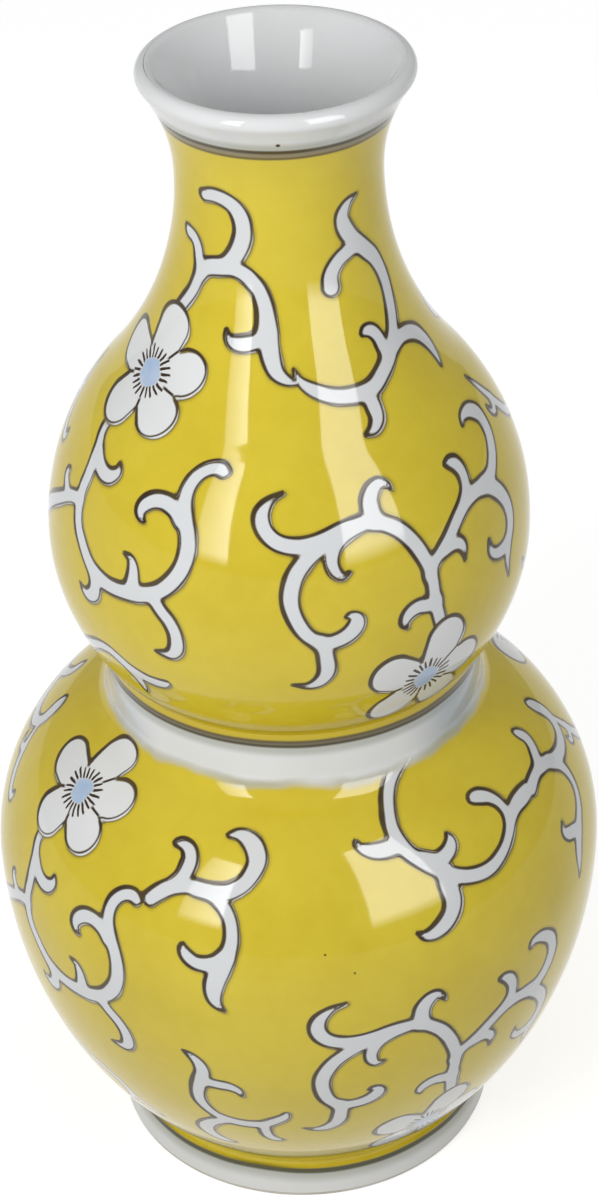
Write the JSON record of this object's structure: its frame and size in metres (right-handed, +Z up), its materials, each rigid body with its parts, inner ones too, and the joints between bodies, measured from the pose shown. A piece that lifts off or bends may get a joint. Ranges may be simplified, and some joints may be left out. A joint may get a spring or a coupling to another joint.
{
  "type": "double gourd vase",
  "caption": "Porcelain vase of two stacked bulbs with a white waist band, slim neck, flared lip and foot ring, enamelled yellow with white scrolling vines; holds flower stems.",
  "frame": {"origin": "centre of the footing's underside, on the surface the vase stands on", "axes": "+Z up along the axis of the vase; +X to the right and +Y away from the viewer in the view of the picture"},
  "size_m": [0.1124, 0.1124, 0.2188],
  "materials": {
    "porcelain_biscuit": "fired, unglazed, finely matt",
    "luting_slip": "fired slip, matt",
    "white_glaze": "glossy white glaze",
    "yellow_enamel": "glossy yellow enamel with white reserved scrolls and dark outlines"
  },
  "bodies": {
    "root": {"foot_ring": "porcelain_biscuit", "belly_bowl": "porcelain_biscuit", "belly_shoulder": "porcelain_biscuit", "waist_collar": "porcelain_biscuit", "crown_bowl": "porcelain_biscuit", "crown_neck": "porcelain_biscuit", "mouth_rim": "porcelain_biscuit", "foot_seam": "luting_slip", "belly_seam": "luting_slip", "shoulder_seam": "luting_slip", "waist_seam": "luting_slip", "crown_seam": "luting_slip", "rim_seam": "luting_slip", "foot_glaze": "white_glaze", "base_glaze": "white_glaze", "waist_glaze": "white_glaze", "rim_glaze": "white_glaze", "inner_glaze": "white_glaze", "lower_enamel": "yellow_enamel", "upper_enamel": "yellow_enamel"}
  },
  "joints": []
}
